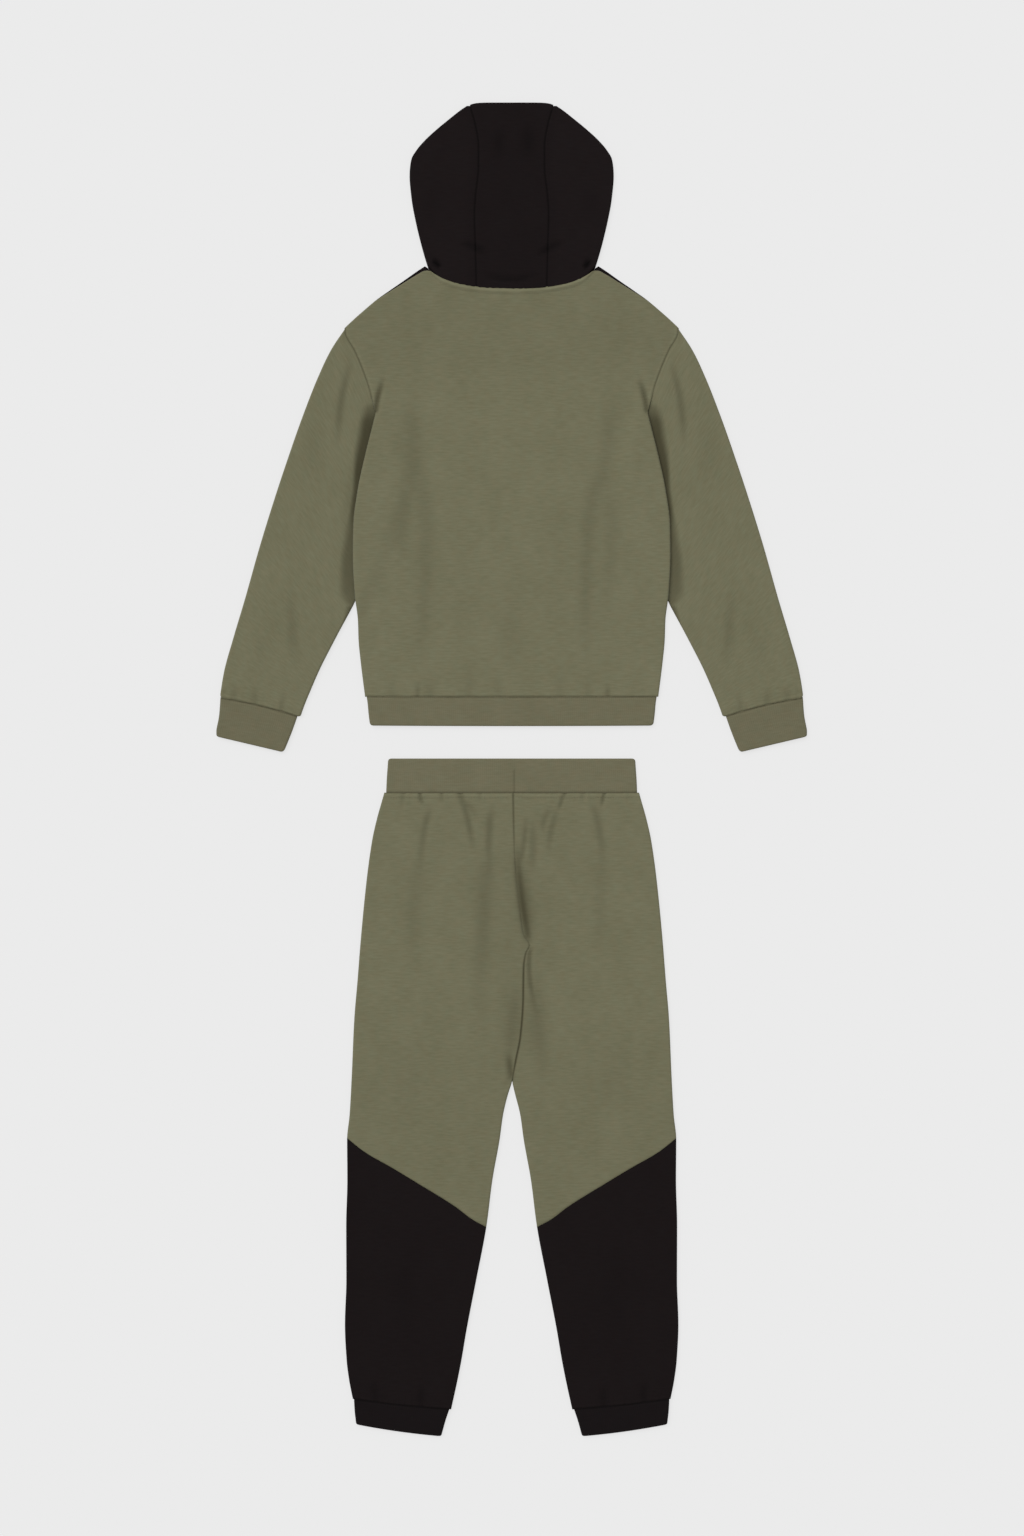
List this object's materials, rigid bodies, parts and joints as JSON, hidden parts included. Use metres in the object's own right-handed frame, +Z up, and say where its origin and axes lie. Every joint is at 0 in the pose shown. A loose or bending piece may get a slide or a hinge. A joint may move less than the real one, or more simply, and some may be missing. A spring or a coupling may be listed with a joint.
{
  "type": "tracksuit",
  "caption": "Hooded sweatshirt and joggers laid flat with their backs up: olive jersey and rib, black hood, front and lower legs, gathered waist.",
  "frame": {"origin": "on the surface that the set lies on, under the middle of its box", "axes": "+Y from the ankles to the hood, +Z up from the surface, +X to the wearer's right, with the backs up"},
  "size_m": [0.7092, 1.6014, 0.008],
  "materials": {
    "olive_jersey": "matt brushed jersey, faintly heathered",
    "olive_rib": "matt fine rib",
    "black_jersey": "matt brushed jersey",
    "black_rib": "matt fine rib"
  },
  "bodies": {
    "root": {"back": "olive_jersey", "front": "black_jersey", "sleeve_left": "olive_jersey", "sleeve_right": "olive_jersey", "cuff_left": "olive_rib", "cuff_right": "olive_rib", "hem_rib": "olive_rib", "hood_centre": "black_jersey", "hood_left": "black_jersey", "hood_right": "black_jersey", "waistband": "olive_rib", "leg_back_left": "olive_jersey", "leg_back_right": "olive_jersey", "leg_front_left": "olive_jersey", "leg_front_right": "olive_jersey", "shin_back_left": "black_jersey", "shin_back_right": "black_jersey", "shin_front_left": "black_jersey", "shin_front_right": "black_jersey", "ankle_rib_left": "black_rib", "ankle_rib_right": "black_rib"}
  },
  "joints": []
}
